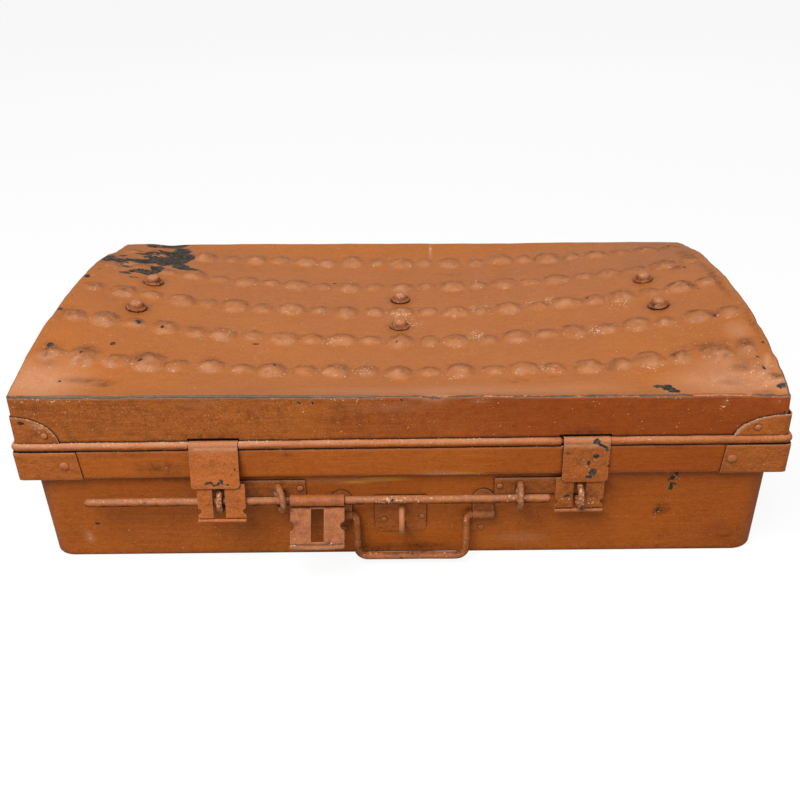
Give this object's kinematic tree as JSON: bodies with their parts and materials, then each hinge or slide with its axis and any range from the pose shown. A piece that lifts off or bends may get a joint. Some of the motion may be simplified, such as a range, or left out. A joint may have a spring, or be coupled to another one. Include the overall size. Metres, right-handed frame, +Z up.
{
  "type": "travelling trunk",
  "caption": "Rectangular painted sheet-metal trunk with a hinged lid arched at its ends, rows of raised bumps, a slide-bar lock with strap hasps and a wire carrying handle.",
  "frame": {"origin": "middle of the underside of the bottom sheet, on the surface that the trunk stands on", "axes": "+X along the length to the right as seen from the front, +Y to the rear, where the hinges are, +Z up"},
  "size_m": [0.7304, 0.461, 0.213],
  "materials": {
    "case_paint": "brush-painted burnt orange enamel over tin plate, satin and worn",
    "lid_paint": "brush-painted burnt orange enamel over tin plate, satin, dusty and chipped to an older dark coat",
    "fittings_paint": "burnt orange enamel brushed over iron fittings, satin and worn"
  },
  "bodies": {
    "trunk_body": {"body_bottom": "case_paint", "body_front": "case_paint", "body_back": "case_paint", "body_left_end": "case_paint", "body_right_end": "case_paint", "rim_front": "case_paint", "rim_back": "case_paint", "rim_left": "case_paint", "rim_right": "case_paint", "rim_corner_front_left": "fittings_paint", "rim_corner_front_right": "fittings_paint", "rim_corner_back_left": "fittings_paint", "rim_corner_back_right": "fittings_paint", "left_staple_plate": "fittings_paint", "right_staple_plate": "fittings_paint", "left_staple": "fittings_paint", "right_staple": "fittings_paint", "left_guide_ring": "fittings_paint", "right_guide_ring": "fittings_paint", "centre_plate": "fittings_paint", "centre_staple": "fittings_paint", "left_handle_clip": "fittings_paint", "right_handle_clip": "fittings_paint", "left_hinge_strap": "fittings_paint", "right_hinge_strap": "fittings_paint"},
    "lid": {"lid_top": "lid_paint", "lid_front": "case_paint", "lid_back": "case_paint", "lid_left_end": "case_paint", "lid_right_end": "case_paint", "lid_corner_front_left": "fittings_paint", "lid_corner_front_right": "fittings_paint", "lid_corner_back_left": "fittings_paint", "lid_corner_back_right": "fittings_paint", "left_hasp_wire": "fittings_paint", "right_hasp_wire": "fittings_paint", "left_hinge_wire": "fittings_paint", "right_hinge_wire": "fittings_paint", "stud_left_front": "fittings_paint", "stud_left_rear": "fittings_paint", "stud_centre_front": "fittings_paint", "stud_centre_rear": "fittings_paint", "stud_right_front": "fittings_paint", "stud_right_rear": "fittings_paint", "lid_strap_left": "fittings_paint", "lid_strap_centre": "fittings_paint", "lid_strap_right": "fittings_paint"},
    "left_hasp": {"left_hasp": "fittings_paint"},
    "right_hasp": {"right_hasp": "fittings_paint"},
    "lock_bar": {"lock_bar": "fittings_paint"},
    "lock_plate": {"lock_plate": "fittings_paint"},
    "carry_handle": {"carry_handle": "fittings_paint"}
  },
  "joints": [
    {"name": "lid_hinge", "type": "hinge", "parent": "trunk_body", "child": "lid", "pos_m": [0, 0.2054, 0.1347], "axis": [-1, 0, 0], "range_deg": [0, 100]},
    {"name": "left_hasp_hinge", "type": "hinge", "parent": "lid", "child": "left_hasp", "pos_m": [-0.173, -0.2054, 0.1347], "axis": [-1, 0, 0], "range_deg": [0, 120]},
    {"name": "right_hasp_hinge", "type": "hinge", "parent": "lid", "child": "right_hasp", "pos_m": [0.173, -0.2054, 0.1347], "axis": [-1, 0, 0], "range_deg": [0, 133]},
    {"name": "bar_slide", "type": "slide", "parent": "trunk_body", "child": "lock_bar", "axis": [1, 0, 0], "range_m": [-0.004, 0.158]},
    {"name": "lock_plate_hinge", "type": "hinge", "parent": "lock_bar", "child": "lock_plate", "pos_m": [-0.0785, -0.216, 0.0775], "axis": [-1, 0, 0], "range_deg": [-38, 110]},
    {"name": "handle_hinge", "type": "hinge", "parent": "trunk_body", "child": "carry_handle", "pos_m": [0.01165, -0.20635, 0.053], "axis": [-1, 0, 0], "range_deg": [-8, 110]}
  ]
}
